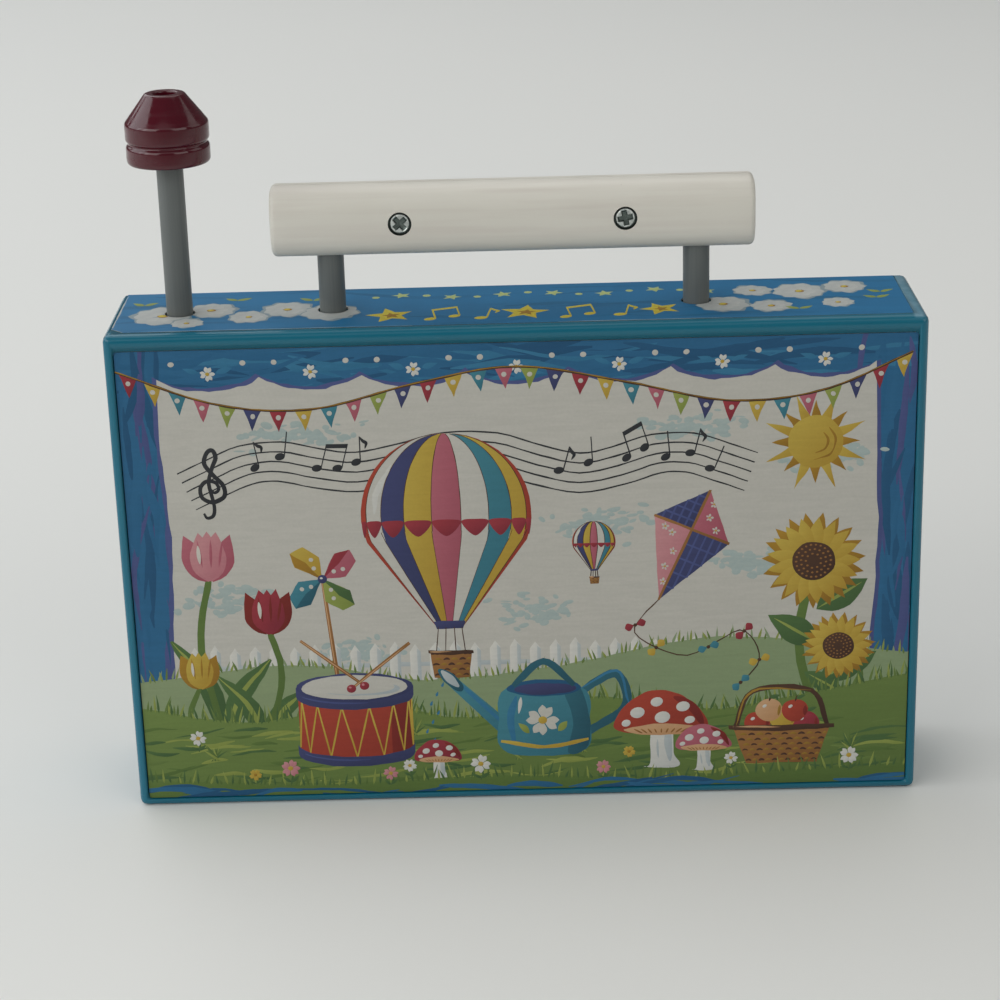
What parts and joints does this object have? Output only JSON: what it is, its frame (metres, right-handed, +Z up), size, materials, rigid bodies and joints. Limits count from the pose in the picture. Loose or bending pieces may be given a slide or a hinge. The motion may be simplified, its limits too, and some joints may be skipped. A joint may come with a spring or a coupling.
{
  "type": "wind-up toy radio",
  "caption": "Flat moulded toy case with a printed back, carrying handle, sliding antenna, winding knob and a picture belt behind a window.",
  "frame": {"origin": "centre of the case's flat underside", "axes": "+X to the right as the printed back is seen, +Y from the printed back to the window side, +Z up"},
  "size_m": [0.241, 0.0596, 0.2189],
  "materials": {
    "teal_plastic": "moulded, glossy",
    "ivory_plastic": "moulded, satin, lightly scuffed",
    "grey_rod_plastic": "extruded, satin",
    "maroon_plastic": "moulded, glossy",
    "grey_plastic": "moulded, matte",
    "white_nylon": "moulded, matte",
    "clear_plastic": "polished, clear",
    "printed_card": "printed, varnished",
    "blue_card": "printed, varnished",
    "plated_steel": "zinc plated",
    "spring_steel": "tempered, ground",
    "cast_zinc": "die-cast, matte",
    "brass": "turned"
  },
  "bodies": {
    "case": {"case_shell": "teal_plastic", "rear_cover": "grey_plastic", "rear_print_panel": "printed_card", "top_label": "blue_card", "picture_window": "clear_plastic", "cover_screw_lower_left": "plated_steel", "cover_screw_lower_right": "plated_steel", "cover_screw_upper_left": "plated_steel", "cover_screw_upper_right": "plated_steel", "handle_rear_half": "ivory_plastic", "handle_front_half": "ivory_plastic", "handle_screw_left": "plated_steel", "handle_screw_right": "plated_steel", "handle_post_left": "grey_rod_plastic", "handle_post_right": "grey_rod_plastic", "post_screw_left": "plated_steel", "post_screw_right": "plated_steel", "antenna_grip_spring": "spring_steel", "spring_housing": "brass", "mainspring": "spring_steel", "movement_bedplate": "cast_zinc", "movement_screw_1": "plated_steel", "movement_screw_2": "plated_steel", "movement_screw_3": "plated_steel", "comb": "spring_steel", "comb_screw_1": "plated_steel", "comb_screw_2": "plated_steel", "scroll_idler_pin": "plated_steel", "picture_belt": "printed_card", "scroll_frame": "grey_plastic", "scroll_frame_screw_lower_left": "plated_steel", "scroll_frame_screw_lower_right": "plated_steel", "scroll_frame_screw_upper_left": "plated_steel", "scroll_frame_screw_upper_right": "plated_steel"},
    "winder": {"winding_knob": "ivory_plastic", "winding_arbor": "plated_steel", "great_wheel": "brass"},
    "cylinder": {"cylinder_drum": "brass", "cylinder_shaft": "plated_steel", "cylinder_pinion": "white_nylon", "cylinder_gear": "white_nylon", "scroll_gear": "white_nylon"},
    "governor_wheel": {"governor_wheel": "white_nylon"},
    "governor_fan": {"governor_fan_shaft": "white_nylon", "governor_fan": "maroon_plastic"},
    "scroll_idler": {"scroll_idler_gear": "white_nylon"},
    "drive_roller": {"drive_roller": "white_nylon", "drive_roller_gear": "white_nylon"},
    "idler_roller": {"idler_roller": "white_nylon"},
    "antenna": {"antenna_rod": "grey_rod_plastic", "antenna_knob": "maroon_plastic", "antenna_stop_collar": "plated_steel"}
  },
  "joints": [
    {"name": "winding_knob_turn", "type": "hinge", "parent": "case", "child": "winder", "pos_m": [-0.072, 0, 0.0464], "axis": [0, 1, 0], "range_deg": [0, 1800]},
    {"name": "cylinder_turn", "type": "hinge", "parent": "case", "child": "cylinder", "pos_m": [-0.072, -0.00346, 0.0776], "axis": [0, 0, 1], "range_deg": [-5400, 0]},
    {"name": "governor_wheel_turn", "type": "hinge", "parent": "case", "child": "governor_wheel", "pos_m": [-0.087, -0.00346, 0.1], "axis": [0, 0, 1], "range_deg": [0, 10800]},
    {"name": "governor_fan_turn", "type": "hinge", "parent": "case", "child": "governor_fan", "pos_m": [-0.0822, 0.00485, 0.105], "axis": [0, 0, 1], "range_deg": [-23760, 0]},
    {"name": "scroll_idler_turn", "type": "hinge", "parent": "case", "child": "scroll_idler", "pos_m": [-0.05492, 0.00222, 0.0249], "axis": [0, 0, 1], "range_deg": [0, 6750]},
    {"name": "drive_roller_turn", "type": "hinge", "parent": "case", "child": "drive_roller", "pos_m": [-0.03784, 0.0079, 0.0774], "axis": [0, 0, 1], "range_deg": [-5400, 0]},
    {"name": "idler_roller_turn", "type": "hinge", "parent": "case", "child": "idler_roller", "pos_m": [0.1045, 0.0079, 0.0774], "axis": [0, 0, 1], "range_deg": [-5400, 0]},
    {"name": "antenna_slide", "type": "slide", "parent": "case", "child": "antenna", "axis": [0, 0, 1], "range_m": [-0.044, 0]}
  ],
  "couplings": [
    {"joint": "cylinder_turn", "follows": "winding_knob_turn", "ratio": -3},
    {"joint": "governor_wheel_turn", "follows": "winding_knob_turn", "ratio": 6},
    {"joint": "governor_fan_turn", "follows": "winding_knob_turn", "ratio": -13.2},
    {"joint": "scroll_idler_turn", "follows": "winding_knob_turn", "ratio": 3.75},
    {"joint": "drive_roller_turn", "follows": "winding_knob_turn", "ratio": -3},
    {"joint": "idler_roller_turn", "follows": "winding_knob_turn", "ratio": -3}
  ]
}
